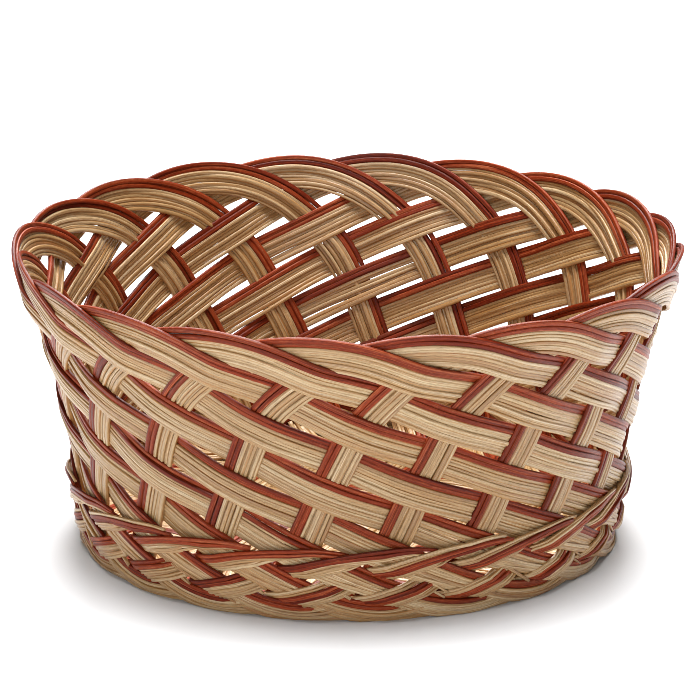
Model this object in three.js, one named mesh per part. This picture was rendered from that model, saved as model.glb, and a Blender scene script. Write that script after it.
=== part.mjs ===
// Woven bowl of coconut midribs: flat bundles of sticks, each with two dyed sticks along one edge.
// Every bundle crosses the base, climbs the wall, arches over at the rim, comes back down through
// the other bundles and ends in the braided border that the bowl stands on.
// Millimetres, +Z up, the floor at z = 0, the bowl's axis on Z.
import * as THREE from 'three';

const radians = THREE.MathUtils.degToRad;

// Driving dimensions of the bowl
const STRIP_COUNT = 20;
const RIM_LEVEL = 109.7;       // height of the middle of a bundle at the top of its arch
const RIM_RADIUS = 122.6;      // wall radius there
const FOOT_RADIUS = 98.4;      // wall radius at the floor
const WALL_HOLLOW = 2.1;       // how far the wall's side bends in between foot and rim
const BASE_LEVEL = 6;          // height of the woven base above the floor
const CORNER_RADIUS = 7;       // bend from the base into the wall

// Bundle section
const THICKNESS = 1.1;         // one layer of sticks
const LAYER_CLEARANCE = 0.55;  // between bundles that cross
const RIM_CLEARANCE = 0.95;    // between arches, which overlap at a flatter angle
const SIDE_CLEARANCE = 0.3;    // between sticks and bundles that lie side by side
const DYED_SHARE = 0.3;        // two thicker sticks of nine
const BASE_WIDTH = 11.2;
const RISER_WIDTH = 12.4;
const FALL_WIDTH = 11.2;
const BORDER_WIDTH = 6.9;
const BRAID_WIDTH = 6;

// Course of a bundle on the unrolled wall: lean from upright, slopes from level
const RISER_LEAN = radians(22.1);
const ARCH_RADIUS = 69.5;
const FALL_SLOPE = radians(24.3);
const SETTLE_LENGTH = 30;      // from the arch to where a fall has its own width
const TAPER_START = 55;        // lengths before the scallop where a fall starts and ends to draw together
const TAPER_END = 25;
const SCALLOP_RADIUS = 32;
const SEAT_LENGTH = 7;         // level stretch that stands on the floor
const BRAID_SLOPE = radians(19);
const BRAID_LEVEL = 22.3;      // where the braid starts to level out
const TOP_RADIUS = 86;
const FIRST_ANGLE = radians(-157.2);

// Woven base: bundles lie in pairs, five pairs each way
const TRACK_PITCH = 27;
const TRACKS = [5, 5];
const BASE_TWIST = radians(8);
const START_RADIUS = 82;       // circle that the cut ends in the base lie in
const BEND_RADIUS = 84;        // circle past which a bundle turns to its place in the wall
const STRAIGHT_REACH = 76;     // half the straight run of the middle bundles

// Fineness of the walk and of the rings, and room beyond a crossing
const WALK_STEP = 0.5;
const LARGEST_SWEEP = radians(10);
const SHARPEST_TURN = radians(17);
const CLOSEST_RINGS = 2;
const PLATEAU_MARGIN = 0.4;
const BRAID_MARGIN = 3;

const PITCH_ANGLE = (2 * Math.PI) / STRIP_COUNT;
const LAYER = THICKNESS + LAYER_CLEARANCE;

const NATURAL = new THREE.MeshStandardMaterial({ color: '#cfb084', roughness: 0.6, metalness: 0 });
const DYED = new THREE.MeshStandardMaterial({ color: '#84362a', roughness: 0.5, metalness: 0 });

// Wall profile
function wallRadius(z) {
  const share = z / RIM_LEVEL;
  return FOOT_RADIUS + (RIM_RADIUS - FOOT_RADIUS) * share - 4 * WALL_HOLLOW * share * (1 - share);
}

function wallFlare(z) {
  const share = z / RIM_LEVEL;
  return Math.atan((RIM_RADIUS - FOOT_RADIUS - 4 * WALL_HOLLOW * (1 - 2 * share)) / RIM_LEVEL);
}

// Length up the wall between two heights
function wallLength(low, high) {
  return Math.hypot(high - low, wallRadius(high) - wallRadius(low));
}

// The course on the wall, as arcs and straights with a heading from level
function courseParts() {
  const rise = Math.PI / 2 - RISER_LEAN;
  const riseLength = wallLength(BASE_LEVEL + CORNER_RADIUS, RIM_LEVEL) - ARCH_RADIUS * (1 - Math.cos(rise));
  const seatLevel = BORDER_WIDTH / 2;
  const bends = (ARCH_RADIUS + SCALLOP_RADIUS) * (1 - Math.cos(FALL_SLOPE));
  const fallLength = wallLength(seatLevel, RIM_LEVEL) - bends;
  const braidRise = wallLength(seatLevel, BRAID_LEVEL) - SCALLOP_RADIUS * (1 - Math.cos(BRAID_SLOPE));
  return [
    { name: 'riser', length: riseLength / Math.sin(rise), from: rise, to: rise },
    { name: 'arch', length: ARCH_RADIUS * (rise + FALL_SLOPE), from: rise, to: -FALL_SLOPE },
    { name: 'fall', length: fallLength / Math.sin(FALL_SLOPE), from: -FALL_SLOPE, to: -FALL_SLOPE },
    { name: 'scallop', length: SCALLOP_RADIUS * FALL_SLOPE, from: -FALL_SLOPE, to: 0 },
    { name: 'seat', length: SEAT_LENGTH, from: 0, to: 0 },
    { name: 'lift', length: SCALLOP_RADIUS * BRAID_SLOPE, from: 0, to: BRAID_SLOPE },
    { name: 'braid', length: braidRise / Math.sin(BRAID_SLOPE), from: BRAID_SLOPE, to: BRAID_SLOPE },
    { name: 'top', length: TOP_RADIUS * BRAID_SLOPE, from: BRAID_SLOPE, to: 0 },
  ];
}

// Walk the course in small steps and note where each part starts
function walkCourse() {
  const samples = [{ s: 0, angle: 0, z: BASE_LEVEL + CORNER_RADIUS, heading: Math.PI / 2 - RISER_LEAN }];
  const start = {};
  for (const part of courseParts()) {
    const first = samples.at(-1);
    start[part.name] = first.s;
    const count = Math.ceil(part.length / WALK_STEP);
    const step = part.length / count;
    for (let i = 0; i < count; i += 1) {
      const last = samples.at(-1);
      const middle = part.from + (part.to - part.from) * (i + 0.5) / count;
      samples.push({
        s: last.s + step,
        angle: last.angle + Math.cos(middle) * step / wallRadius(last.z),
        z: last.z + Math.sin(middle) * step * Math.cos(wallFlare(last.z)),
        heading: part.from + (part.to - part.from) * (i + 1) / count,
      });
    }
  }
  start.end = samples.at(-1).s;
  return { samples, start };
}

const { samples: WALK, start: START } = walkCourse();
const PEAK = START.arch + ARCH_RADIUS * (Math.PI / 2 - RISER_LEAN);

function courseAt(s) {
  let low = 0;
  let high = WALK.length - 1;
  while (high - low > 1) {
    const middle = (low + high) >> 1;
    if (WALK[middle].s > s) high = middle;
    else low = middle;
  }
  const share = THREE.MathUtils.clamp((s - WALK[low].s) / (WALK[high].s - WALK[low].s), 0, 1);
  const blend = (key) => THREE.MathUtils.lerp(WALK[low][key], WALK[high][key], share);
  return { s, angle: blend('angle'), z: blend('z'), heading: blend('heading') };
}

// Value of a list of [place, value] corners at a place between them
function follow(corners, place) {
  const next = corners.findIndex((corner) => corner[0] >= place);
  if (next === 0) return corners[0][1];
  if (next < 0) return corners.at(-1)[1];
  const [before, after] = [corners[next - 1], corners[next]];
  return before[1] + (after[1] - before[1]) * (place - before[0]) / (after[0] - before[0]);
}

// Bundle width along the course
const WIDTHS = [
  [0, RISER_WIDTH],
  [PEAK, RISER_WIDTH],
  [START.fall + SETTLE_LENGTH, FALL_WIDTH],
  [START.scallop - TAPER_START, FALL_WIDTH],
  [START.scallop - TAPER_END, BORDER_WIDTH],
  [START.lift, BORDER_WIDTH],
  [START.braid, BRAID_WIDTH],
  [START.end, BRAID_WIDTH],
];

// Place on a stretch of the course at a height, for stretches that only rise or only fall
function placeAtHeight(from, to, z) {
  const rising = courseAt(to).z > courseAt(from).z;
  let low = from;
  let high = to;
  for (let i = 0; i < 40; i += 1) {
    const middle = (low + high) / 2;
    if ((courseAt(middle).z < z) === rising) low = middle;
    else high = middle;
  }
  return (low + high) / 2;
}

// Where a bundle's falling stretch meets the rising stretch of the bundle some pitches along
function findCrossing(fall, rise, pitches) {
  const gap = (z) => {
    const falling = courseAt(placeAtHeight(fall[0], fall[1], z));
    const rising = courseAt(placeAtHeight(rise[0], rise[1], z));
    return falling.angle - rising.angle - pitches * PITCH_ANGLE;
  };
  let low = Math.max(courseAt(fall[1]).z, courseAt(rise[0]).z);
  let high = Math.min(courseAt(fall[0]).z, courseAt(rise[1]).z);
  const slope = Math.sign(gap(high) - gap(low));
  for (let i = 0; i < 40; i += 1) {
    const middle = (low + high) / 2;
    if (gap(middle) * slope < 0) low = middle;
    else high = middle;
  }
  const onFall = placeAtHeight(fall[0], fall[1], low);
  const onRise = placeAtHeight(rise[0], rise[1], low);
  const turn = courseAt(onRise).heading - courseAt(onFall).heading;
  const half = (own, other) => (follow(WIDTHS, other) + follow(WIDTHS, own) * Math.abs(Math.cos(turn)))
    / (2 * Math.sin(turn)) + PLATEAU_MARGIN;
  const skewReach = follow(WIDTHS, onFall) / (2 * Math.sin(turn)) + BRAID_MARGIN;
  return { onFall, onRise, fallReach: half(onFall, onRise), riseReach: half(onRise, onFall), turn, skewReach };
}

const wallCrossing = (pitches) => findCrossing([PEAK, START.seat], [0, PEAK], pitches);
const braidCrossing = (pitches) => findCrossing([PEAK, START.seat], [START.lift, START.end], -pitches);

// How far a bundle lies outside the wall's middle surface along its course.
// Risers stay on that surface. Falls pass outside the first two risers, then inside and outside by turns.
function weaveLevels() {
  const levels = [[0, 0]];
  const rimPitch = PITCH_ANGLE * RIM_RADIUS;
  const lastRiser = wallCrossing(3);
  const second = wallCrossing(2);
  const rampHalf = second.onFall + second.fallReach / 2 - PEAK - second.fallReach / 3;
  const rampRise = (THICKNESS + RIM_CLEARANCE) * 2 * rampHalf / rimPitch;
  const inner = -LAYER / 2;
  levels.push([lastRiser.onRise + lastRiser.riseReach, 0]);
  levels.push([PEAK - rampHalf, inner]);
  levels.push([PEAK + rampHalf, inner + rampRise]);
  levels.push([second.onFall + second.fallReach, LAYER + RIM_CLEARANCE / 2]);
  for (const pitches of [3, 4, 5, 6, 7]) {
    const { onFall, fallReach } = wallCrossing(pitches);
    const side = pitches % 2 ? -LAYER : LAYER;
    levels.push([onFall - fallReach, side]);
    levels.push([onFall + fallReach, side]);
  }
  const eighth = wallCrossing(8);
  levels.push([eighth.onFall - eighth.fallReach, LAYER]);
  const third = braidCrossing(3);
  levels.push([third.onFall - third.fallReach, 2 * LAYER]);
  levels.push([START.seat, 2 * LAYER]);
  for (const pitches of [1, 2, 3, 4]) {
    const { onRise, skewReach, turn } = braidCrossing(pitches);
    const side = pitches % 2 ? LAYER : 3 * LAYER;
    const skew = -1 / Math.tan(turn);
    levels.push([onRise - skewReach, side, skew]);
    levels.push([onRise + skewReach, side, skew]);
  }
  levels.push([START.end, 2 * LAYER]);
  return levels;
}

const LEVELS = weaveLevels();
const SKEWS = LEVELS.map(([place, , skew]) => [place, skew ?? 0]);

// Places along the course that the ribbon's rings stand at
function ringPlaces() {
  const corners = [...new Set([...LEVELS.map((corner) => corner[0]), ...Object.values(START)])];
  corners.sort((a, b) => a - b);
  const places = [corners[0]];
  for (const corner of corners.slice(1)) {
    const last = places.at(-1);
    const turn = Math.abs(courseAt(corner).heading - courseAt(last).heading);
    const sweep = courseAt(corner).angle - courseAt(last).angle;
    const count = Math.max(1, Math.ceil(sweep / LARGEST_SWEEP), Math.ceil(turn / SHARPEST_TURN));
    if (corner - last > CLOSEST_RINGS) {
      for (let i = 1; i <= count; i += 1) places.push(last + (corner - last) * i / count);
    }
  }
  return places;
}

// Frame on a surface of revolution: point, direction of the course and outward normal
function surfaceRing(angle, radius, z, flare, heading) {
  const round = new THREE.Vector3(-Math.sin(angle), Math.cos(angle), 0);
  const radial = new THREE.Vector3(Math.cos(angle), Math.sin(angle), 0);
  const up = radial.clone().multiplyScalar(Math.sin(flare));
  up.z = Math.cos(flare);
  return {
    point: radial.clone().multiplyScalar(radius).setZ(z),
    along: round.multiplyScalar(Math.cos(heading)).addScaledVector(up, Math.sin(heading)),
    out: radial.multiplyScalar(Math.cos(flare)).setZ(-Math.sin(flare)),
  };
}

// A ring on the wall. In the braid it lies aslant, along the bundle that is crossed there.
function wallRings(turn) {
  return ringPlaces().map((place) => {
    const at = (across) => {
      const { angle, z, heading } = courseAt(place + across * follow(SKEWS, place));
      return surfaceRing(turn + angle, wallRadius(z), z, wallFlare(z), heading);
    };
    return { at, level: follow(LEVELS, place), width: follow(WIDTHS, place) };
  });
}

// Bend between base and wall, as a profile that both run into smoothly
const CORNER_TOP = BASE_LEVEL + CORNER_RADIUS;
const CORNER = new THREE.QuadraticBezierCurve(
  new THREE.Vector2(wallRadius(BASE_LEVEL) - CORNER_RADIUS, BASE_LEVEL),
  new THREE.Vector2(wallRadius(BASE_LEVEL), BASE_LEVEL),
  new THREE.Vector2(wallRadius(CORNER_TOP), CORNER_TOP),
);
const CORNER_TURN = Math.tan(RISER_LEAN) * CORNER.getLength() / CORNER.v1.x;

function cornerRings(turn) {
  return [0, 0.5].map((share) => {
    const { x: radius, y: z } = CORNER.getPoint(share);
    const way = CORNER.getTangent(share);
    const angle = turn - CORNER_TURN * (1 - share);
    const frame = surfaceRing(angle, radius, z, Math.atan2(way.x, way.y), Math.PI / 2 - RISER_LEAN);
    return { at: () => frame, level: 0, width: THREE.MathUtils.lerp(BASE_WIDTH, RISER_WIDTH, share) };
  });
}

// Where strip k lies in the base: the side it runs to, its pair and its distance from the middle
function baseTrack(k) {
  const half = STRIP_COUNT / 2;
  const inHalf = k % half;
  const crossways = inHalf < TRACKS[0] ? 0 : 1;
  const member = crossways ? inHalf - TRACKS[0] : inHalf;
  const side = 2 * Math.floor(k / half) + crossways;
  const order = Math.max(0, 2 * member - 1);
  const track = Math.floor(order / 2);
  const sidestep = (order % 2 ? 1 : -1) * (BASE_WIDTH + SIDE_CLEARANCE) / 2;
  const offset = (track - (TRACKS[crossways] - 1) / 2) * TRACK_PITCH + sidestep;
  return { side, crossways, track, offset };
}

// Rings across the base, from the cut end to the bend into the wall
function baseRings(k, turn) {
  const { side, crossways, track, offset } = baseTrack(k);
  const axis = FIRST_ANGLE - CORNER_TURN + (TRACKS[0] - 1) / 2 * PITCH_ANGLE + BASE_TWIST + side * Math.PI / 2;
  const ahead = new THREE.Vector3(Math.cos(axis), Math.sin(axis), 0);
  const across = new THREE.Vector3(-Math.sin(axis), Math.cos(axis), 0);
  const start = -Math.min(STRAIGHT_REACH, Math.sqrt(START_RADIUS ** 2 - offset ** 2));
  const reach = Math.min(STRAIGHT_REACH, Math.sqrt(BEND_RADIUS ** 2 - offset ** 2));
  const corners = crossways ? baseLevels(side, track) : [[0, 0]];
  const clear = (place) => place > start + CLOSEST_RINGS && place < reach - CLOSEST_RINGS;
  const inside = corners.map((corner) => corner[0]).filter(clear);
  const down = new THREE.Vector3(0, 0, -1);
  const ring = (point, along, level) => ({ at: () => ({ point, along, out: down }), level, width: BASE_WIDTH });
  const straightPoint = (place) => new THREE.Vector3(0, 0, BASE_LEVEL)
    .addScaledVector(ahead, place)
    .addScaledVector(across, offset);
  const places = crossways ? [start, ...inside, reach] : [start, reach];
  const rings = places.map((place) => ring(straightPoint(place), ahead, follow(corners, place)));
  const last = straightPoint(reach);
  const join = cornerRings(turn)[0].at();
  const bendLength = join.point.distanceTo(last) / 3;
  const bend = new THREE.CubicBezierCurve3(
    last,
    last.clone().addScaledVector(ahead, bendLength),
    join.point.clone().addScaledVector(join.along, -bendLength),
    join.point,
  );
  rings.push(ring(bend.getPoint(0.5), bend.getTangent(0.5), rings.at(-1).level));
  return rings;
}

// Levels of a bundle that crosses the lengthways pairs: over two pairs, under two, one pair on each time
function baseLevels(side, track) {
  const [rows, columns] = TRACKS;
  const half = (TRACK_PITCH - 2 * BASE_WIDTH - SIDE_CLEARANCE) / 2 - PLATEAU_MARGIN;
  const column = side === 1 ? columns - 1 - track : track;
  const level = (i) => {
    const row = side === 1 ? i : rows - 1 - i;
    return Math.floor((row + column + 1) / 2) % 2 ? LAYER : -LAYER;
  };
  const corners = [[-TRACK_PITCH * rows, level(0)]];
  for (let i = 1; i < rows; i += 1) {
    const between = (i - rows / 2) * TRACK_PITCH;
    if (level(i) !== level(i - 1)) corners.push([between - half, level(i - 1)], [between + half, level(i)]);
  }
  corners.push([TRACK_PITCH * rows, level(rows - 1)]);
  return corners;
}

// Closed ribbon through the rings, between two shares of the bundle's width
function ribbon(rings, edges) {
  const positions = [];
  for (const { at, level, width } of rings) {
    const [low, high] = edges(width);
    for (const [across, height] of [[low, -1], [high, -1], [high, 1], [low, 1]]) {
      const { point, along, out } = at(across);
      const side = new THREE.Vector3().crossVectors(out, along);
      const corner = point.clone()
        .addScaledVector(out, level + height * THICKNESS / 2)
        .addScaledVector(side, across);
      positions.push(corner.x, corner.y, Math.max(corner.z, 0));
    }
  }
  const faces = [[0, 2, 1], [0, 3, 2]];
  const last = 4 * (rings.length - 1);
  for (let ring = 0; ring < last; ring += 4) {
    for (let i = 0; i < 4; i += 1) {
      const [a, b] = [ring + i, ring + (i + 1) % 4];
      faces.push([a, b + 4, a + 4], [a, b, b + 4]);
    }
  }
  faces.push([last, last + 1, last + 2], [last, last + 2, last + 3]);
  const geometry = new THREE.BufferGeometry();
  geometry.setAttribute('position', new THREE.Float32BufferAttribute(positions, 3));
  geometry.setIndex(faces.flat());
  geometry.computeVertexNormals();
  return geometry;
}

const naturalEdges = (width) => [-width / 2, width / 2 - DYED_SHARE * width - SIDE_CLEARANCE];
const dyedEdges = (width) => [width / 2 - DYED_SHARE * width, width / 2];

const bowl = new THREE.Group();
for (let k = 0; k < STRIP_COUNT; k += 1) {
  const turn = FIRST_ANGLE + k * PITCH_ANGLE;
  const rings = [...baseRings(k, turn), ...cornerRings(turn), ...wallRings(turn)];
  const number = String(k + 1).padStart(2, '0');
  for (const [name, edges, material] of [['natural', naturalEdges, NATURAL], ['dyed', dyedEdges, DYED]]) {
    const mesh = new THREE.Mesh(ribbon(rings, edges), material);
    mesh.name = `${name}_sticks_${number}`;
    bowl.add(mesh);
  }
}

export default bowl;
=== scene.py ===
"""Woven bowl of coconut midribs: every stick of every bundle as its own tube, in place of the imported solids.

A bundle starts in the base, climbs the wall, arches over at the rim, comes back down through the other
bundles, sweeps along the floor and ends as a strand of the braided border above the foot. Lengths are in
millimetres until a mesh is made.
"""

import math
from collections import namedtuple

import bpy
import numpy as np
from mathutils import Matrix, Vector


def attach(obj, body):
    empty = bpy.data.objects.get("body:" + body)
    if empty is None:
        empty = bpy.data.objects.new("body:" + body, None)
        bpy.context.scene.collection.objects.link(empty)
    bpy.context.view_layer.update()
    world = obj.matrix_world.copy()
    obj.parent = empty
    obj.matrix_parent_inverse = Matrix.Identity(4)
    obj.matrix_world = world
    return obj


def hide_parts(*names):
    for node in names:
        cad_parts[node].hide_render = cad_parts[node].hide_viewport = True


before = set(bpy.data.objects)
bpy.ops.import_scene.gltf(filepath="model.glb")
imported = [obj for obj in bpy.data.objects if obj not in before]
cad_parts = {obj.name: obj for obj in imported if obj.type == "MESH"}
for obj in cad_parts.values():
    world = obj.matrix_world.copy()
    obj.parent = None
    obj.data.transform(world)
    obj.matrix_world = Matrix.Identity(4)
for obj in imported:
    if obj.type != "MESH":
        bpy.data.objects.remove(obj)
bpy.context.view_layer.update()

MM = 0.001

# The bowl, as in the solids: each bundle has a node of natural and a node of dyed sticks
BUNDLE_COUNT = len(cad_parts) // 2
PITCH_ANGLE = 2 * math.pi / BUNDLE_COUNT
FIRST_ANGLE = math.radians(-157.2)
RIM_LEVEL = 109.7
RIM_RADIUS = 122.6
FOOT_RADIUS = 98.4
WALL_HOLLOW = 2.1
BASE_LEVEL = 6
CORNER_RADIUS = 7
RISER_LEAN = math.radians(22.1)
ARCH_RADIUS = 69.5
FALL_SLOPE = math.radians(24.3)
BRAID_SLOPE = math.radians(19)

# The base, as in the solids: pairs of bundles on tracks both ways
TRACKS = (5, 5)
TRACK_PITCH = 27
BASE_TWIST = math.radians(8)
START_RADIUS = 82
BEND_RADIUS = 84
STRAIGHT_REACH = 76
SIDE_CLEARANCE = 0.3

# Crossings, as the pitches between two bundles: a fall is clear of the rim at the first riser here, passes
# inside and outside the next ones by turns and stays outside the last
RIM_CROSSING = 2
WALL_CROSSINGS = range(3, 8)
FOOT_CROSSING = 8

# A strand of the border passes under and over falls by turns, and its tip lies over one more; a fall is at
# its outermost from where it meets the third strand
BRAID_CROSSINGS = range(1, 5)
TIP_CROSSING = 5
OUTER_CROSSING = 3

# Levels of the weave, whose sticks lie closer than the solids do
LAYER = 1.5
RISER_SWAY = 0.35
RIM_STEP = 1.9
TIP_LEVELS = (2.8 * LAYER, 2.2 * LAYER, 1.8 * LAYER)
TAIL_LEVELS = (1.4 * LAYER, 0.9 * LAYER, 1.3 * LAYER, 2.2 * LAYER)

# The border's own sizes: scallop on the floor, strand above it, and the tips and tails that end the sticks
SCALLOP_RADIUS = 55
SEAT_LENGTH = 4
SEAT_LEVEL = 3.6
BRAID_LEVEL = 21.8
TOP_RADIUS = 140
TOP_SLOPE = math.radians(6.5)
TIP_LENGTH = 17
TIP_SLOPE = math.radians(18)
TIP_SINKING = 6
TAIL_LEAVING = math.radians(11)
TAIL_RADIUS = 11
TAIL_SLOPE = math.radians(36)
TAIL_LENGTH = 30
TAIL_DIP = 10

# Width of a bundle along its course, and where it changes, before the scallop and after the braid's start
BASE_WIDTH = 13.1
RISER_WIDTH = 12.1
ARCH_WIDTH = 13.0
FALL_WIDTH = 12.9
PINCH_WIDTH = 12.6
BORDER_WIDTH = 8.6
BRAID_WIDTH = 8.4
TOP_WIDTH = 7.2
TIP_WIDTH = 2.4
TAIL_WIDTH = 4.5
NARROWING_START = 42
NARROWING_END = 14
BRAID_SETTLING = 20

# Lengths over which levels, slants and widths are eased; the border's easing takes over before the scallop
WALL_EASE = 11
BORDER_EASE = 6
BORDER_EASE_START = 30
BORDER_EASE_LENGTH = 20
SLANT_EASE = 4
WIDTH_EASE = 10

# A bundle that weaves in the base: half the flat stretch on a pair, easing, and room past the outer pairs
BASE_FLAT = 9
BASE_EASE = 14
BASE_MARGIN = 10

# Share of the corner that a cut end reaches up between two risers
TUCK_SHARE = 0.9

# Sticks of a bundle, numbered from the edge away from the dyed ones, which come last
NATURAL_COUNT = 7
DYED_COUNT = 2
NATURAL_SIZE = 1.42
DYED_SIZE = 1.95
NATURAL_SPREAD = 0.28
DYED_SPREAD = 0.07
DYED_FLATNESS = 0.8
SQUARENESS = 3.6
LARGEST_TWIST = 0.45

# Natural sticks that leave the strand and end in a tail, and lengths over which a stick that ends fades out
TAIL_STICKS = (0, 1)
SHORT_FADE_START = 26
LEAVING_FADE_START = 12
FADE_LENGTH = 18

# Natural sticks that lie half hidden behind the others in the riser, and come up before the arch's peak; a
# stick that is hidden or fades out sinks by up to SINK_DEPTH
SUNK_STICKS = (2, 5)
SUNK_SHARE = 0.3
SUNK_UNTIL = 45
RISEN_FROM = 5
SINK_DEPTH = 1.3

# Natural sticks that change to the far side of the dyed ones as a bundle leaves the floor, one choice of
# these for each bundle
CHANGING_STICKS = ([6], [], [4, 6], [])
CHANGE_AHEAD = 4
CHANGE_LENGTH = 26
CHANGE_LIFT = 1.4

# Chance: a wander is a size and the length of its wave, and ends are cut back by less than END_CHOICES steps
FIRST_SEED = 100
SWAY_WANDER = (0.8, 170)
SWAY_RAMP = 40
SWAY_IN_BORDER = 0.3
ACROSS_WANDER = (0.15, 130)
LIFT_WANDER = (0.16, 95)
BASE_ACROSS_WANDER = (0.1, 120)
BASE_LIFT_WANDER = (0.08, 90)
SIZE_WANDER = (0.05, 70)
WANDER_OCTAVES = (1, 2, 3)
WANDER_PEAK = 1.8
PARTING_COUNT = 8
LEAST_PARTING = 0.05
PARTING_RANGE = 0.75
PARTING_POWER = 4
PARTING_LENGTH = 16
END_CHOICES = 3

# Fineness of courses, sticks and bends
WALK_STEP = 0.5
STICK_STEP = 3.0
SECTION_SIDES = 12
CROSSING_STEPS = 4000
CORNER_STEPS = 60
BEND_POINTS = 9
CORNER_POINTS = 9
TUCK_POINTS = 7

# Painted shade makes the base's sticks a little darker than those of the wall, and painted light makes the
# border's a little lighter
BASE_PAINTED_SHADE = 0.75
PAINTED_SHADE_RADIUS = 80
PAINTED_SHADE_END_RADIUS = 95
BORDER_PAINTED_LIGHT = 1.13
PAINTED_LIGHT_LEVEL = 22
PAINTED_LIGHT_END_LEVEL = 38

# Baking map: width round a stick, share of a row left free at its edges, and radius of an end face
BAKED_ROUND = 5
BAKE_MARGIN = 0.08
BAKED_END = 0.4


def wall_radius(z):
    share = z / RIM_LEVEL
    return FOOT_RADIUS + (RIM_RADIUS - FOOT_RADIUS) * share - 4 * WALL_HOLLOW * share * (1 - share)


def wall_flare(z):
    """Angle by which the wall leans out."""
    share = z / RIM_LEVEL
    return np.arctan((RIM_RADIUS - FOOT_RADIUS - 4 * WALL_HOLLOW * (1 - 2 * share)) / RIM_LEVEL)


def wall_length(low, high):
    return math.hypot(high - low, wall_radius(high) - wall_radius(low))


def course_parts():
    """The course on the wall as (name, length, first heading, last heading), without its end."""
    rise = math.pi / 2 - RISER_LEAN
    rise_length = wall_length(BASE_LEVEL + CORNER_RADIUS, RIM_LEVEL) - ARCH_RADIUS * (1 - math.cos(rise))
    bends = (ARCH_RADIUS + SCALLOP_RADIUS) * (1 - math.cos(FALL_SLOPE))
    fall_length = wall_length(SEAT_LEVEL, RIM_LEVEL) - bends
    braid_rise = wall_length(SEAT_LEVEL, BRAID_LEVEL) - SCALLOP_RADIUS * (1 - math.cos(BRAID_SLOPE))
    return [
        ("riser", rise_length / math.sin(rise), rise, rise),
        ("arch", ARCH_RADIUS * (rise + FALL_SLOPE), rise, -FALL_SLOPE),
        ("fall", fall_length / math.sin(FALL_SLOPE), -FALL_SLOPE, -FALL_SLOPE),
        ("scallop", SCALLOP_RADIUS * FALL_SLOPE, -FALL_SLOPE, 0),
        ("seat", SEAT_LENGTH, 0, 0),
        ("lift", SCALLOP_RADIUS * BRAID_SLOPE, 0, BRAID_SLOPE),
        ("braid", braid_rise / math.sin(BRAID_SLOPE), BRAID_SLOPE, BRAID_SLOPE),
    ]


TIP_END = [
    ("top", TOP_RADIUS * (BRAID_SLOPE - TOP_SLOPE), BRAID_SLOPE, TOP_SLOPE),
    ("tip", TIP_LENGTH, TOP_SLOPE, -TIP_SLOPE),
]
TAIL_END = [
    ("top", TOP_RADIUS * (BRAID_SLOPE - TAIL_LEAVING), BRAID_SLOPE, TAIL_LEAVING),
    ("turn", TAIL_RADIUS * (TAIL_LEAVING + TAIL_SLOPE), TAIL_LEAVING, -TAIL_SLOPE),
    ("tail", TAIL_LENGTH, -TAIL_SLOPE, -TAIL_SLOPE),
]


def walk_course(parts):
    """Columns of place, angle, height and heading along the course, and the place where each part starts."""
    rows = [(0.0, 0.0, BASE_LEVEL + CORNER_RADIUS, math.pi / 2 - RISER_LEAN)]
    start = {}
    for name, length, first, last in parts:
        start[name] = rows[-1][0]
        count = math.ceil(length / WALK_STEP)
        step = length / count
        for i in range(count):
            place, angle, z, _ = rows[-1]
            middle = first + (last - first) * (i + 0.5) / count
            rows.append((
                place + step,
                angle + math.cos(middle) * step / wall_radius(z),
                z + math.sin(middle) * step * math.cos(wall_flare(z)),
                first + (last - first) * (i + 1) / count,
            ))
    start["end"] = rows[-1][0]
    return np.array(rows).T, start


WALK, START = walk_course(course_parts() + TIP_END)
TAIL_WALK, TAIL_START = walk_course(course_parts() + TAIL_END)
PEAK = START["arch"] + ARCH_RADIUS * (math.pi / 2 - RISER_LEAN)

# Where natural sticks that stop short end, by number
SHORT_STICKS = {2: START["scallop"] - 8, 5: START["scallop"] + 4, 3: START["top"] - 8, 4: START["tip"] + 4}

# Midribs thin out towards their tips, which are in the border
TAPER_PLACES = (0, PEAK, START["fall"] + 60, START["scallop"], START["top"], START["end"])
NATURAL_TAPER = (1.12, 1.08, 1.1, 1.02, 0.86, 0.78)
DYED_TAPER = (1.06, 1.04, 1.02, 1.0, 0.9, 0.72)

# Bundles are crowned: the sticks in the middle lie further out, most of all in the border
CROWN_PLACES = (0, PEAK, START["scallop"] - 40, START["scallop"], START["tip"])
CROWNS = (0.3, 0.35, 0.5, 0.8, 0.9)


def course_at(place, walk=WALK):
    """Angle, height and heading at a place on the course."""
    return [np.interp(place, walk[0], column) for column in walk[1:]]


def find_crossing(fall, rise, pitches):
    """Places on a falling and on a rising stretch where the two meet, and the angle between them."""
    def stretch(ends):
        places = np.arange(ends[0], ends[1], WALK_STEP)
        angle, z, heading = course_at(places)
        order = np.argsort(z)
        return places[order], angle[order], z[order], heading[order]

    fall_places, fall_angle, fall_z, fall_heading = stretch(fall)
    rise_places, rise_angle, rise_z, rise_heading = stretch(rise)
    heights = np.linspace(max(fall_z[0], rise_z[0]), min(fall_z[-1], rise_z[-1]), CROSSING_STEPS)
    gap = np.interp(heights, fall_z, fall_angle) - np.interp(heights, rise_z, rise_angle)
    z = heights[np.argmin(abs(gap - pitches * PITCH_ANGLE))]
    turn = np.interp(z, rise_z, rise_heading) - np.interp(z, fall_z, fall_heading)
    return np.interp(z, fall_z, fall_places), np.interp(z, rise_z, rise_places), turn


def wall_crossing(pitches):
    return find_crossing((PEAK, START["seat"]), (0, PEAK), pitches)


def braid_crossing(pitches):
    return find_crossing((PEAK, START["seat"]), (START["lift"], START["tip"]), -pitches)


def tip_crossing(pitches):
    """Place near the end of a strand where it meets a falling stretch."""
    places = np.arange(START["top"], START["end"], WALK_STEP)
    angle, z, _ = course_at(places)
    fall_angle, fall_z, _ = course_at(np.arange(PEAK, START["seat"], WALK_STEP))
    gap = np.interp(angle - pitches * PITCH_ANGLE, fall_angle, fall_z) - z
    return places[np.argmin(abs(gap))]


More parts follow.
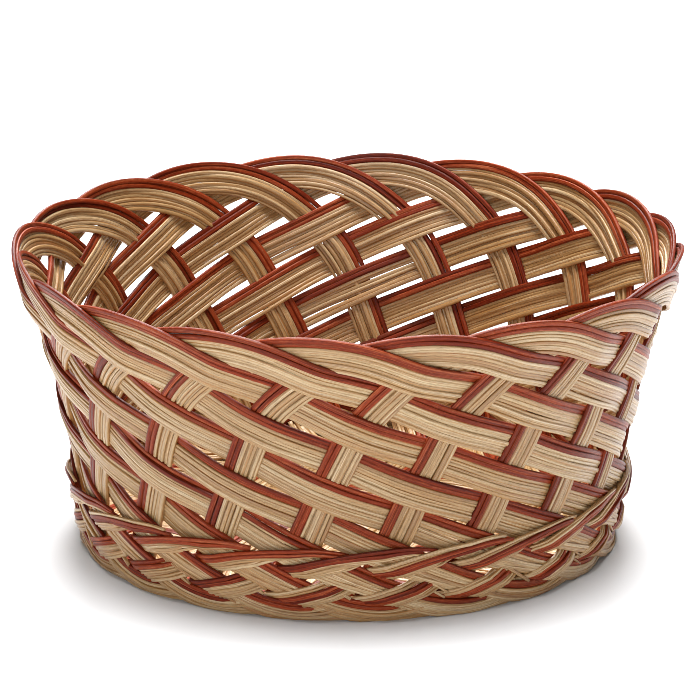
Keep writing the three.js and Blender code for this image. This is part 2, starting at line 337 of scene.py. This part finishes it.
def weave_levels():
    """Corners of (place, level outside the wall's middle surface, slant of the crossing), up to the ends."""
    rim_pitch = PITCH_ANGLE * RIM_RADIUS
    ramp_half = wall_crossing(RIM_CROSSING)[0] - PEAK
    inner = -LAYER / 2
    reach = RISER_WIDTH / 2
    corners = [(0, 0, 0)]
    for pitches in reversed(WALL_CROSSINGS):
        middle = wall_crossing(pitches)[1]
        side = RISER_SWAY if pitches % 2 else -RISER_SWAY
        corners += [(middle - reach / 2, side, 0), (middle + reach / 2, side, 0)]
    corners += [
        (PEAK - ramp_half, inner, 0),
        (PEAK + ramp_half, inner + RIM_STEP * 2 * ramp_half / rim_pitch, 0),
    ]
    sway = LAYER - RISER_SWAY
    for pitches in WALL_CROSSINGS:
        middle = wall_crossing(pitches)[0]
        side = -sway if pitches % 2 else sway
        corners += [(middle - reach, side, 0), (middle + reach, side, 0)]
    corners += [
        (wall_crossing(FOOT_CROSSING)[0] - reach, LAYER, 0),
        (braid_crossing(OUTER_CROSSING)[0] - reach, 2 * LAYER, 0),
        (START["seat"], 2 * LAYER, 0),
    ]
    for pitches in BRAID_CROSSINGS:
        _, middle, turn = braid_crossing(pitches)
        half = BRAID_WIDTH / 2 / math.sin(turn)
        side = LAYER if pitches % 2 else 3 * LAYER
        slant = -1 / math.tan(turn)
        corners += [(middle - half, side, slant), (middle + half, side, slant)]
    return corners


def bundle_widths():
    """Corners of (place, width of the bundle), up to the ends."""
    crossings = [wall_crossing(pitches)[0] for pitches in (RIM_CROSSING, *WALL_CROSSINGS)]
    corners = [(0, RISER_WIDTH), (PEAK, ARCH_WIDTH)]
    for here, there in zip(crossings, crossings[1:]):
        corners += [(here, FALL_WIDTH), ((here + there) / 2, PINCH_WIDTH)]
    return corners + [
        (START["scallop"] - NARROWING_START, FALL_WIDTH),
        (START["scallop"] - NARROWING_END, BORDER_WIDTH),
        (START["braid"] + BRAID_SETTLING, BRAID_WIDTH),
        (START["top"], TOP_WIDTH),
    ]


def smooth(values, window):
    """Running mean with a raised-cosine window, in steps of the walk."""
    half = round(window / WALK_STEP / 2)
    weights = np.hanning(2 * half + 3)[1:-1]
    padded = np.pad(values, half, mode="edge")
    return np.convolve(padded, weights / weights.sum(), mode="valid")


Course = namedtuple("Course", "walk places levels slants widths")


def make_course(walk, end_levels, end_widths):
    """A course with the level, the slant and the width of a bundle at each place along it."""
    end_corners = [(place, level, 0) for place, level in end_levels]
    level_places, corner_levels, corner_slants = np.array(weave_levels() + end_corners).T
    width_places, corner_widths = np.array(bundle_widths() + end_widths).T
    places = np.arange(0, walk[0][-1] + WALK_STEP, WALK_STEP)
    plain = np.interp(places, level_places, corner_levels)
    in_border = np.clip((places - START["scallop"] + BORDER_EASE_START) / BORDER_EASE_LENGTH, 0, 1)
    levels = smooth(plain, WALL_EASE) * (1 - in_border) + smooth(plain, BORDER_EASE) * in_border
    slants = smooth(np.interp(places, level_places, corner_slants), SLANT_EASE)
    widths = smooth(np.interp(places, width_places, corner_widths), WIDTH_EASE)
    return Course(walk, places, levels, slants, widths)


TIP_PLACES = (tip_crossing(TIP_CROSSING), START["end"] - TIP_SINKING, START["end"])
TAIL_PLACES = (TAIL_START["turn"], TAIL_START["tail"], TAIL_START["tail"] + TAIL_DIP, TAIL_START["end"])
TIP_COURSE = make_course(WALK, zip(TIP_PLACES, TIP_LEVELS), [(START["end"], TIP_WIDTH)])
TAIL_COURSE = make_course(TAIL_WALK, zip(TAIL_PLACES, TAIL_LEVELS),
                          [(TAIL_START["turn"], TOP_WIDTH), (TAIL_START["end"], TAIL_WIDTH)])


def unit(v):
    return v / np.linalg.norm(v, axis=1, keepdims=True)


def ease(share):
    return share ** 2 * (3 - 2 * share)


def surface_frames(angle, radius, z, flare, heading):
    """Points on a surface of revolution with the course's direction and the outward normal."""
    zero = np.zeros_like(angle)
    one = np.ones_like(angle)
    radial = np.stack([np.cos(angle), np.sin(angle), zero], axis=1)
    around = np.stack([-np.sin(angle), np.cos(angle), zero], axis=1)
    upright = np.stack([zero, zero, one], axis=1)
    flare, heading = flare[:, None], heading[:, None]
    up = radial * np.sin(flare) + upright * np.cos(flare)
    along = around * np.cos(heading) + up * np.sin(heading)
    out = radial * np.cos(flare) - upright * np.sin(flare)
    return radial * radius[:, None] + upright * z[:, None], along, out


def wall_line(course, turn, across, lift, places):
    """Centre line of a stick on the wall, at its distance across the bundle, and the outward normals."""
    place = places + across * np.interp(places, course.places, course.slants)
    angle, z, heading = course_at(place, course.walk)
    point, along, out = surface_frames(turn + angle, wall_radius(z), z, wall_flare(z), heading)
    level = np.interp(places, course.places, course.levels) + lift
    return point + out * level[:, None] + np.cross(out, along) * across[:, None], out


def corner_curve(share):
    """Profile of the bend from the base into the wall: radius, height and flare."""
    top = BASE_LEVEL + CORNER_RADIUS
    radius = np.array([wall_radius(BASE_LEVEL) - CORNER_RADIUS, wall_radius(BASE_LEVEL), wall_radius(top)])
    height = np.array([BASE_LEVEL, BASE_LEVEL, top])
    weights = np.stack([(1 - share) ** 2, 2 * share * (1 - share), share ** 2], axis=1)
    slopes = np.stack([-2 * (1 - share), 2 - 4 * share, 2 * share], axis=1)
    return weights @ radius, weights @ height, np.arctan2(slopes @ radius, slopes @ height)


corner_radii, corner_heights, _ = corner_curve(np.linspace(0, 1, CORNER_STEPS))
CORNER_LENGTH = np.hypot(np.diff(corner_radii), np.diff(corner_heights)).sum()
CORNER_TURN = math.tan(RISER_LEAN) * CORNER_LENGTH / wall_radius(BASE_LEVEL)


def corner_frames(turn, share):
    radius, z, flare = corner_curve(share)
    heading = np.full_like(share, math.pi / 2 - RISER_LEAN)
    return surface_frames(turn - CORNER_TURN * (1 - share), radius, z, flare, heading)


def base_track(k):
    """Side of the base that bundle k runs to, whether it weaves, its pair and its offset from the middle."""
    half = BUNDLE_COUNT // 2
    crossways = int(k % half >= TRACKS[0])
    member = k % half - crossways * TRACKS[0]
    side = 2 * (k // half) + crossways
    order = max(0, 2 * member - 1)
    sidestep = (1 if order % 2 else -1) * (BASE_WIDTH + SIDE_CLEARANCE) / 2
    offset = (order // 2 - (TRACKS[crossways] - 1) / 2) * TRACK_PITCH + sidestep
    return side, crossways, order // 2, offset


def base_level(side, track, place):
    """Level of a bundle that crosses the lengthways pairs: over two, under two, one pair on each time."""
    rows, columns = TRACKS
    column = columns - 1 - track if side == 1 else track
    corners = []
    for i in range(rows):
        row = i if side == 1 else rows - 1 - i
        level = LAYER if (row + column + 1) // 2 % 2 else -LAYER
        middle = (i - (rows - 1) / 2) * TRACK_PITCH
        corners += [(middle - BASE_FLAT, level), (middle + BASE_FLAT, level)]
    fine = np.arange(-BEND_RADIUS - BASE_MARGIN, BEND_RADIUS + BASE_MARGIN, WALK_STEP)
    levels = smooth(np.interp(fine, *np.array(corners).T), BASE_EASE)
    return np.interp(place, fine, levels)


def bend(first, first_way, last, last_way):
    """Points of a smooth bend between two ends, and a share that eases from 0 to 1 along it."""
    reach = np.linalg.norm(last - first) / 3
    t = np.linspace(0, 1, BEND_POINTS)[1:-1, None]
    knots = [first, first + first_way * reach, last - last_way * reach, last]
    weights = [(1 - t) ** 3, 3 * t * (1 - t) ** 2, 3 * t ** 2 * (1 - t), t ** 3]
    return sum(weight * knot for weight, knot in zip(weights, knots)), ease(t)[:, 0]


Base = namedtuple("Base", "points ways outs levels")


def base_frames(k, turn):
    """Bundle from its cut end, tucked up between two risers, across the base and into the wall."""
    side, crossways, track, offset = base_track(k)
    middle = (TRACKS[0] - 1) / 2 * PITCH_ANGLE
    axis = FIRST_ANGLE - CORNER_TURN + middle + BASE_TWIST + side * math.pi / 2
    ahead = np.array([math.cos(axis), math.sin(axis), 0])
    sideways = np.array([-math.sin(axis), math.cos(axis), 0])
    first = -min(STRAIGHT_REACH, math.sqrt(START_RADIUS ** 2 - offset ** 2))
    last = min(STRAIGHT_REACH, math.sqrt(BEND_RADIUS ** 2 - offset ** 2))
    run = np.linspace(first, last, max(3, math.ceil((last - first) / STICK_STEP)))
    line = np.array([0, 0, BASE_LEVEL]) + run[:, None] * ahead + offset * sideways
    level = base_level(side, track, run) if crossways else np.zeros_like(run)

    start_angle = math.atan2(line[0][1], line[0][0]) + CORNER_TURN - FIRST_ANGLE
    gap = math.ceil(start_angle / PITCH_ANGLE - 0.5) + 0.5
    tuck_shares = np.linspace(TUCK_SHARE, 0, TUCK_POINTS)
    tuck, tuck_way, tuck_out = corner_frames(FIRST_ANGLE + gap * PITCH_ANGLE, tuck_shares)
    corner, corner_way, corner_out = corner_frames(turn, np.linspace(0, 1, CORNER_POINTS)[:-1])
    first_bend, first_share = bend(tuck[-1], -tuck_way[-1], line[0], ahead)
    last_bend, last_share = bend(line[-1], ahead, corner[0], corner_way[0])

    down = np.array([0, 0, -1.0])
    flat_count = len(first_bend) + len(line) + len(last_bend)
    points = np.concatenate([tuck, first_bend, line, last_bend, corner])
    outs = np.concatenate([tuck_out, np.tile(down, (flat_count, 1)), corner_out])
    levels = np.concatenate([
        np.zeros(len(tuck)), level[0] * first_share, level, level[-1] * (1 - last_share),
        np.zeros(len(corner)),
    ])
    return Base(points, unit(np.gradient(points, axis=0)), outs, levels)


def wander(rng, places, size, wave):
    """Slow random wander along a stick."""
    total = np.zeros_like(places)
    for octave in WANDER_OCTAVES:
        phase = rng.uniform(0, 2 * math.pi)
        total += np.sin(places * 2 * math.pi * octave / wave + phase) / octave
    return total * size / WANDER_PEAK


Layout = namedtuple("Layout", "course places shares total shown lifts thick")


def stick_layout(course, sizes, changing, leaving):
    """How a bundle's sticks lie along a course.

    Shares are the sticks' centres across the bundle, from -0.5 to 0.5, and total is the width that the sticks
    need. A stick that is hidden or gone has little or no share of the width, and is little shown.
    """
    places = np.arange(0, course.walk[0][-1], STICK_STEP)
    shown = np.ones((len(sizes), len(places)))
    for i, end in SHORT_STICKS.items():
        shown[i] = 1 - np.clip((places - end + SHORT_FADE_START) / FADE_LENGTH, 0, 1)
    for i in leaving:
        shown[i] *= 1 - np.clip((places - TAIL_START["turn"] + LEAVING_FADE_START) / FADE_LENGTH, 0, 1)
    for i in SUNK_STICKS:
        shown[i] *= np.interp(places, (PEAK - SUNK_UNTIL, PEAK - RISEN_FROM), (SUNK_SHARE, 1))
    natural_taper = np.interp(places, TAPER_PLACES, NATURAL_TAPER)
    dyed_taper = np.interp(places, TAPER_PLACES, DYED_TAPER)
    thick = sizes[:, None] * np.array([natural_taper] * NATURAL_COUNT + [dyed_taper] * DYED_COUNT)
    filled = thick * shown
    total = filled.sum(axis=0)

    def centres(order):
        stacked = filled[order]
        shares = np.empty_like(filled)
        shares[order] = (np.cumsum(stacked, axis=0) - stacked / 2) / total - 0.5
        return shares

    order = list(range(len(sizes)))
    changed = [i for i in order if i not in changing] + changing
    change = ease(np.clip((places - START["lift"] + CHANGE_AHEAD) / CHANGE_LENGTH, 0, 1))
    shares = centres(order) * (1 - change) + centres(changed) * change
    lifts = np.zeros_like(filled)
    lifts[changing] = 4 * change * (1 - change) * CHANGE_LIFT
    return Layout(course, places, shares, total, shown, lifts, thick)


def base_line(rng, base, across, wall_across, wall_lift):
    """Centre line of a stick in the base, which goes over to its place on the wall."""
    run = np.arange(len(base.points)) * STICK_STEP
    ramp = np.linspace(0, 1, len(base.points))
    across = (across + wander(rng, run, *BASE_ACROSS_WANDER)) * (1 - ramp) + wall_across * ramp
    lift = base.levels + wander(rng, run, *BASE_LIFT_WANDER) * (1 - ramp) + wall_lift * ramp
    side = unit(np.cross(base.outs, base.ways))
    return base.points + base.outs * lift[:, None] + side * across[:, None]


Parting = namedtuple("Parting", "boundary middle opening")
Stick = namedtuple("Stick", "centre normals thick tone twist")


def make_stick(rng, i, turn, base, layout, sway, partings):
    """Stick i of a bundle, from the base to its end in the border."""
    course, places, share, thin = layout.course, layout.places, layout.shares[i], layout.thick[i]
    width = np.interp(places, course.places, course.widths)
    squeeze = np.clip(width / layout.total, 0, 1)
    stagger = thin * np.sqrt(1 - squeeze ** 2) / 2 * rng.uniform(-1, 1)
    crown = np.interp(places, CROWN_PLACES, CROWNS) * (0.5 - (2 * share) ** 2)
    sink = (1 - layout.shown[i]) * SINK_DEPTH
    jitter = wander(rng, places, *ACROSS_WANDER)
    across = share * width + jitter + sway[:len(places)]
    for parting in partings:
        way = 0.5 if i >= parting.boundary else -0.5
        across += way * parting.opening * np.exp(-((places - parting.middle) / PARTING_LENGTH) ** 2)
    lift = stagger - sink + crown + layout.lifts[i] + wander(rng, places, *LIFT_WANDER)
    wall, wall_out = wall_line(course, turn, across, lift, places)
    start = base_line(rng, base, share[0] * BASE_WIDTH + jitter[0], across[0], lift[0])

    trim = rng.integers(0, END_CHOICES)
    base_count = len(start) - trim
    if i in SHORT_STICKS:
        count = base_count + int(SHORT_STICKS[i] / STICK_STEP)
    else:
        count = base_count + len(wall) - rng.integers(0, END_CHOICES)
    centre = np.concatenate([start[trim:], wall])[:count]
    normals = np.concatenate([base.outs[trim:], wall_out])[:count]
    thick = np.concatenate([np.full(base_count, thin[0]), thin])[:count]
    thick *= 1 + wander(rng, np.arange(count) * STICK_STEP, *SIZE_WANDER)
    centre[:, 2] = np.maximum(centre[:, 2], thick / 2)
    return Stick(centre, normals, thick, rng.uniform(0, 1), rng.uniform(-LARGEST_TWIST, LARGEST_TWIST))


def make_sticks(k):
    """Every stick of bundle k, natural ones first."""
    rng = np.random.default_rng(FIRST_SEED + k)
    natural_spread = rng.uniform(1 - NATURAL_SPREAD, 1 + NATURAL_SPREAD, NATURAL_COUNT)
    dyed_spread = rng.uniform(1 - DYED_SPREAD, 1 + DYED_SPREAD, DYED_COUNT)
    sizes = np.concatenate([NATURAL_SIZE * natural_spread / natural_spread.mean(), DYED_SIZE * dyed_spread])
    changing = CHANGING_STICKS[rng.integers(len(CHANGING_STICKS))]
    places = np.arange(0, max(START["end"], TAIL_START["end"]), STICK_STEP)
    sway = wander(rng, places, *SWAY_WANDER)
    sway *= np.interp(places, (0, SWAY_RAMP, PEAK, START["scallop"]), (0, 1, 1, SWAY_IN_BORDER))
    partings = []
    for _ in range(PARTING_COUNT):
        boundary = rng.integers(1, len(sizes))
        middle = rng.uniform(0, START["scallop"])
        opening = LEAST_PARTING + PARTING_RANGE * rng.uniform() ** PARTING_POWER
        partings.append(Parting(boundary, middle, opening))

    turn = FIRST_ANGLE + k * PITCH_ANGLE
    base = base_frames(k, turn)
    staying = [i for i in range(len(sizes)) if i not in TAIL_STICKS]
    tip_layout = stick_layout(TIP_COURSE, sizes, changing, TAIL_STICKS)
    tail_layout = stick_layout(TAIL_COURSE, sizes, changing, staying)
    sticks = []
    for i in range(len(sizes)):
        layout = tail_layout if i in TAIL_STICKS else tip_layout
        sticks.append(make_stick(rng, i, turn, base, layout, sway, partings))
    return sticks


def section(twist):
    """Corners of a stick's section, between a circle and a square, as shares of half its size."""
    turn = np.arange(SECTION_SIDES) * 2 * math.pi / SECTION_SIDES + twist
    wide = np.sign(np.cos(turn)) * abs(np.cos(turn)) ** (2 / SQUARENESS)
    high = np.sign(np.sin(turn)) * abs(np.sin(turn)) ** (2 / SQUARENESS)
    return wide, high


def tube_rings(stick, wide, high):
    """Rings of points round a stick's centre line."""
    along = unit(np.gradient(stick.centre, axis=0))
    side = unit(np.cross(stick.normals, along))
    out = np.cross(along, side)
    rings = side[:, None, :] * wide[None, :, None] + out[:, None, :] * high[None, :, None]
    return stick.centre[:, None, :] + rings * (stick.thick / 2)[:, None, None]


def tube_faces(first, count):
    """Faces between rings whose points are numbered from first, and then the two end faces."""
    ring = np.arange(count - 1)[:, None] * SECTION_SIDES + first
    following = ring + SECTION_SIDES
    here = np.arange(SECTION_SIDES)[None, :]
    there = (here + 1) % SECTION_SIDES
    quads = np.stack([ring + here, ring + there, following + there, following + here], axis=2)
    last = first + (count - 1) * SECTION_SIDES
    start_face = list(range(first + SECTION_SIDES - 1, first - 1, -1))
    end_face = list(range(last, last + SECTION_SIDES))
    return quads.reshape(-1, 4).tolist() + [start_face, end_face]


def baking_places(counts):
    """Places on the baking map, corner by corner: the tubes in rows, and their end faces in one row more."""
    cells = sum(counts) - len(counts)
    row_cells = math.ceil(math.sqrt(cells * BAKED_ROUND / STICK_STEP))
    row_counts = [math.ceil((count - 1) / row_cells) for count in counts]
    rows = sum(row_counts) + 1
    turn = np.arange(SECTION_SIDES) * 2 * math.pi / SECTION_SIDES
    places = []
    for i, count in enumerate(counts):
        cell = np.arange(count - 1)[:, None, None]
        side = np.arange(SECTION_SIDES)[None, :, None]
        u = (cell % row_cells + np.array([0, 0, 1, 1])) / row_cells
        round_share = (side + np.array([0, 1, 1, 0])) / SECTION_SIDES
        row = sum(row_counts[:i]) + cell // row_cells
        v = (row + BAKE_MARGIN + (1 - 2 * BAKE_MARGIN) * round_share) / rows
        places.append(np.stack(np.broadcast_arrays(u, v), axis=-1).reshape(-1, 2))
        for end, corner in enumerate((turn[::-1], turn)):
            u = (2 * i + end + 0.5 + BAKED_END * np.cos(corner)) / (2 * len(counts))
            v = (rows - 0.5 + BAKED_END * np.sin(corner)) / rows
            places.append(np.stack([u, v], axis=1))
    return np.concatenate(places)


def painted_light_and_shade(centre):
    """Painted shade and painted light of a stick along its centre line: darker in the base, lighter in the
    border.
    """
    radius = np.hypot(centre[:, 0], centre[:, 1])
    base_painted_shade = np.interp(radius, (PAINTED_SHADE_RADIUS, PAINTED_SHADE_END_RADIUS), (BASE_PAINTED_SHADE, 1))
    return base_painted_shade * np.interp(centre[:, 2], (PAINTED_LIGHT_LEVEL, PAINTED_LIGHT_END_LEVEL), (BORDER_PAINTED_LIGHT, 1))


def add_sticks(name, node, sticks, flatness, material):
    """One mesh of tubes with what the materials need to know about each stick."""
    points, faces = [], []
    values = {label: [] for label in ("along", "side", "front", "tone", "shade")}
    counts = [len(stick.centre) for stick in sticks]
    for i, stick in enumerate(sticks):
        wide, high = section(stick.twist)
        points.append(tube_rings(stick, wide, high * flatness).reshape(-1, 3))
        faces += tube_faces(sum(counts[:i]) * SECTION_SIDES, counts[i])
        steps = np.linalg.norm(np.diff(stick.centre, axis=0), axis=1)
        values["along"].append(np.repeat(np.concatenate([[0], np.cumsum(steps)]), SECTION_SIDES))
        values["side"].append(np.tile(wide, counts[i]))
        values["front"].append(np.tile(high, counts[i]))
        values["tone"].append(np.full(counts[i] * SECTION_SIDES, stick.tone))
        # the shade attribute carries the base's painted shade and the border's painted light
        values["shade"].append(np.repeat(painted_light_and_shade(stick.centre), SECTION_SIDES))
    mesh = bpy.data.meshes.new(name)
    mesh.from_pydata((np.concatenate(points) * MM).tolist(), [], faces)
    for label, arrays in values.items():
        attribute = mesh.attributes.new(label, "FLOAT", "POINT")
        attribute.data.foreach_set("value", np.concatenate(arrays).astype(np.float32))
    baking_map = mesh.uv_layers.new(name="OFBake")
    baking_map.data.foreach_set("uv", baking_places(counts).ravel())
    mesh.polygons.foreach_set("use_smooth", [len(face) == 4 for face in faces])
    mesh.materials.append(material)
    mesh.update()
    piece = bpy.data.objects.new(name, mesh)
    bpy.context.scene.collection.objects.link(piece)
    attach(piece, "root")
    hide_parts(node)


# Materials: how far the noise of one stick can lie from another's, depth of the bump and range of roughness
STICK_SEEDS = 97
BUMP_STRENGTH = 0.5
BUMP_DEPTH = 0.0002
SMOOTHER = 0.1
ROUGHER = 0.12


def linear(red, green, blue):
    """Scene colour of an sRGB colour given in 0 to 255."""
    def channel(value):
        value /= 255
        return value / 12.92 if value <= 0.04045 else ((value + 0.055) / 1.055) ** 2.4
    return (channel(red), channel(green), channel(blue), 1)


def grey(value):
    return (value, value, value, 1)


def stick_material(name, tones, streak_tones, vein_tones, dark_fleck, painted_glint_fleck, edge_and_groove_shade_tint, roughness,
                   shine):
    """Satin midrib: a tone for each stick, streaks and veins along it, fine dark flecks with pale flecks of
    painted highlight, and side edges darker partly in their own colour and partly with painted shade between
    sticks.
    """
    material = bpy.data.materials.new(name)
    material.use_nodes = True
    nodes, links = material.node_tree.nodes, material.node_tree.links
    shader = nodes["Principled BSDF"]

    def read(label):
        node = nodes.new("ShaderNodeAttribute")
        node.attribute_name = label
        return node.outputs["Fac"]

    def calculate(operation, first, second):
        node = nodes.new("ShaderNodeMath")
        node.operation = operation
        links.new(first, node.inputs[0])
        if isinstance(second, (int, float)):
            node.inputs[1].default_value = second
        else:
            links.new(second, node.inputs[1])
        return node.outputs[0]

    along, side, front, tone = read("along"), read("side"), read("front"), read("tone")

    def fibre(along_scale, section_scale, detail):
        """Noise that is drawn out along the stick and differs from stick to stick."""
        vector = nodes.new("ShaderNodeCombineXYZ")
        links.new(calculate("MULTIPLY", along, along_scale), vector.inputs[0])
        links.new(calculate("MULTIPLY", side, section_scale), vector.inputs[1])
        links.new(calculate("MULTIPLY", front, section_scale), vector.inputs[2])
        noise = nodes.new("ShaderNodeTexNoise")
        noise.noise_dimensions = "4D"
        noise.inputs["Scale"].default_value = 1
        noise.inputs["Detail"].default_value = detail
        links.new(vector.outputs[0], noise.inputs["Vector"])
        links.new(calculate("MULTIPLY", tone, STICK_SEEDS), noise.inputs["W"])
        return noise.outputs["Fac"]

    def ramp(socket, stops):
        node = nodes.new("ShaderNodeValToRGB")
        elements = node.color_ramp.elements
        while len(elements) < len(stops):
            elements.new(0.5)
        for element, (position, colour) in zip(elements, stops):
            element.position = position
            element.color = colour
        links.new(socket, node.inputs[0])
        return node.outputs["Color"]

    def combine(blend, first, second):
        node = nodes.new("ShaderNodeMix")
        node.data_type = "RGBA"
        node.blend_type = blend
        node.inputs["Factor"].default_value = 1
        links.new(first, node.inputs["A"])
        links.new(second, node.inputs["B"])
        return node

    def mix(factor, first, second):
        node = combine("MIX", first, second)
        links.new(factor, node.inputs["Factor"])
        return node.outputs["Result"]

    def tint(colour, shade):
        return combine("MULTIPLY", colour, shade).outputs["Result"]

    streaks = fibre(along_scale=0.035, section_scale=1.5, detail=4)
    fibres = fibre(along_scale=0.25, section_scale=6, detail=4)
    veins = fibre(along_scale=0.012, section_scale=3, detail=2)
    flecks = fibre(along_scale=0.45, section_scale=4.5, detail=5)

    streak_weight = ramp(fibres, [(0.35, grey(0.2)), (0.65, grey(0.8))])
    plain = mix(streak_weight, ramp(tone, tones), ramp(streaks, streak_tones))
    vein_weight = ramp(veins, [(0.5, grey(0)), (0.58, grey(0.9))])
    veined = mix(vein_weight, plain, ramp(tone, vein_tones))
    # side edges: partly the midrib's own darker edge colour, partly painted shade in the grooves between
    # sticks
    edge_weight = ramp(streaks, [(0.4, grey(1)), (0.62, grey(0.1))])
    edge = calculate("MULTIPLY", calculate("POWER", side, 2), edge_weight)
    edge_and_groove_shade = ramp(edge, [(0.0, grey(1)), (1.0, edge_and_groove_shade_tint)])
    # dark flecks are the midrib's own specks; pale flecks are painted highlight glints
    fleck_and_glint_stops = [(0.34, dark_fleck), (0.45, grey(1)), (0.55, grey(1)), (0.67, painted_glint_fleck)]
    fleck_and_glint_shade = ramp(flecks, fleck_and_glint_stops)
    # the shade attribute multiplies in the base's painted shade and the border's painted light
    colour = tint(tint(tint(veined, edge_and_groove_shade), fleck_and_glint_shade), read("shade"))
    links.new(colour, shader.inputs["Base Color"])

    bump = nodes.new("ShaderNodeBump")
    bump.inputs["Strength"].default_value = BUMP_STRENGTH
    bump.inputs["Distance"].default_value = BUMP_DEPTH
    links.new(fibres, bump.inputs["Height"])
    links.new(bump.outputs[0], shader.inputs["Normal"])
    rough = nodes.new("ShaderNodeMapRange")
    rough.inputs["To Min"].default_value = roughness - SMOOTHER
    rough.inputs["To Max"].default_value = roughness + ROUGHER
    links.new(streaks, rough.inputs["Value"])
    links.new(rough.outputs[0], shader.inputs["Roughness"])
    shader.inputs["Specular IOR Level"].default_value = shine
    return material


natural = stick_material(
    "natural_midrib",
    tones=[
        (0.0, linear(132, 91, 47)), (0.15, linear(171, 139, 96)), (0.3, linear(197, 174, 135)),
        (0.45, linear(149, 112, 67)), (0.6, linear(181, 152, 112)), (0.76, linear(207, 187, 153)),
        (0.88, linear(162, 129, 84)), (1.0, linear(135, 93, 47)),
    ],
    streak_tones=[
        (0.3, linear(115, 72, 32)), (0.43, linear(160, 127, 82)), (0.57, linear(182, 153, 113)),
        (0.7, linear(214, 195, 161)),
    ],
    vein_tones=[(0.0, linear(149, 97, 47)), (0.5, linear(171, 125, 70)), (1.0, linear(139, 99, 57))],
    dark_fleck=(0.66, 0.6, 0.52, 1),
    # pale flecks: painted highlight glints
    painted_glint_fleck=(1.14, 1.17, 1.2, 1),
    # edge tint: the edge's own colour together with painted shade between sticks
    edge_and_groove_shade_tint=linear(236, 212, 176),
    roughness=0.36,
    shine=0.6,
)
dyed = stick_material(
    "dyed_midrib",
    tones=[
        (0.0, linear(95, 25, 6)), (0.35, linear(122, 37, 10)), (0.7, linear(139, 50, 18)),
        (1.0, linear(108, 31, 7)),
    ],
    streak_tones=[
        (0.3, linear(54, 8, 3)), (0.45, linear(106, 33, 10)), (0.6, linear(141, 54, 22)),
        (0.72, linear(177, 100, 62)),
    ],
    vein_tones=[(0.0, linear(69, 12, 4)), (0.5, linear(162, 82, 48)), (1.0, linear(77, 16, 4))],
    dark_fleck=(0.58, 0.5, 0.45, 1),
    # pale flecks: painted highlight glints, whitish on the red
    painted_glint_fleck=(1.45, 2.1, 2.6, 1),
    # edge tint: the edge's own colour together with painted shade between sticks
    edge_and_groove_shade_tint=linear(186, 152, 140),
    roughness=0.4,
    shine=0.16,
)

for k in range(BUNDLE_COUNT):
    number = f"{k + 1:02d}"
    sticks = make_sticks(k)
    add_sticks(f"natural_midribs_{number}", f"natural_sticks_{number}", sticks[:NATURAL_COUNT], 1, natural)
    add_sticks(f"dyed_midribs_{number}", f"dyed_sticks_{number}", sticks[NATURAL_COUNT:], DYED_FLATNESS, dyed)

# Floor, in metres
FLOOR_HALF = 6.0
FLOOR_COLOUR = (0.672, 0.683, 0.696, 1)

floor_mesh = bpy.data.meshes.new("floor")
floor_corners = [(-FLOOR_HALF, -FLOOR_HALF, 0), (FLOOR_HALF, -FLOOR_HALF, 0),
                 (FLOOR_HALF, FLOOR_HALF, 0), (-FLOOR_HALF, FLOOR_HALF, 0)]
floor_mesh.from_pydata(floor_corners, [], [(0, 1, 2, 3)])
floor_material = bpy.data.materials.new("pale_floor")
floor_material.use_nodes = True
floor_shader = floor_material.node_tree.nodes["Principled BSDF"]
floor_shader.inputs["Base Color"].default_value = FLOOR_COLOUR
floor_shader.inputs["Roughness"].default_value = 0.9
floor_shader.inputs["Specular IOR Level"].default_value = 0.1
floor_mesh.materials.append(floor_material)
floor = bpy.data.objects.new("floor", floor_mesh)
bpy.context.scene.collection.objects.link(floor)

# Light: a wide sun overhead, and round lamps behind and in front, placed in metres
WORLD_STRENGTH = 0.08
SUN_STRENGTH = 6.9
SUN_SPREAD = math.radians(36)
SUN_WAY = Vector((0.0, -0.035, -1))

scene = bpy.context.scene
scene.view_settings.view_transform = "Standard"
scene.cycles.filter_width = 0.9
world = bpy.data.worlds.new("studio")
world.use_nodes = True
background = world.node_tree.nodes["Background"]
background.inputs["Color"].default_value = (1, 1, 1, 1)
background.inputs["Strength"].default_value = WORLD_STRENGTH
scene.world = world


def add_lamp(name, light, way):
    lamp = bpy.data.objects.new(name, light)
    lamp.rotation_euler = way.to_track_quat("-Z", "Y").to_euler()
    scene.collection.objects.link(lamp)
    return lamp


def area_light(name, place, target, size, watts):
    light = bpy.data.lights.new(name, "AREA")
    light.shape = "DISK"
    light.size = size
    light.energy = watts
    add_lamp(name, light, Vector(target) - Vector(place)).location = place


overhead = bpy.data.lights.new("overhead", "SUN")
overhead.energy = SUN_STRENGTH
overhead.angle = SUN_SPREAD
add_lamp("overhead", overhead, SUN_WAY)
area_light("back", place=(0, 1.4, 1.3), target=(0, 0, 0), size=1.0, watts=50)
area_light("front_left", place=(-0.9, -1.6, 0.9), target=(0, 0, 0.06), size=0.8, watts=4)
area_light("front", place=(-0.15, -1.75, 0.7), target=(0, 0, 0.05), size=0.9, watts=9)

# Camera, in metres, with its focal length and shift for the photograph's square frame
IMAGE_PIXELS = 700
FOCAL_PIXELS = 4944
SENSOR_WIDTH = 36
CAMERA_SHIFT = 0.0023
CAMERA_DISTANCE = 1.8844
CAMERA_ELEVATION = math.radians(17.92)
CAMERA_ORBIT = Vector((0, 0, 0.0521))
CAMERA_AIM = Vector((0, 0, 0.0721))

camera_data = bpy.data.cameras.new("camera")
camera_data.sensor_width = SENSOR_WIDTH
camera_data.lens = SENSOR_WIDTH * FOCAL_PIXELS / IMAGE_PIXELS
camera_data.shift_x = CAMERA_SHIFT
camera = bpy.data.objects.new("camera", camera_data)
away = Vector((0, -math.cos(CAMERA_ELEVATION), math.sin(CAMERA_ELEVATION)))
camera.location = CAMERA_ORBIT + away * CAMERA_DISTANCE
camera.rotation_euler = (CAMERA_AIM - camera.location).to_track_quat("-Z", "Y").to_euler()
scene.collection.objects.link(camera)
scene.camera = camera
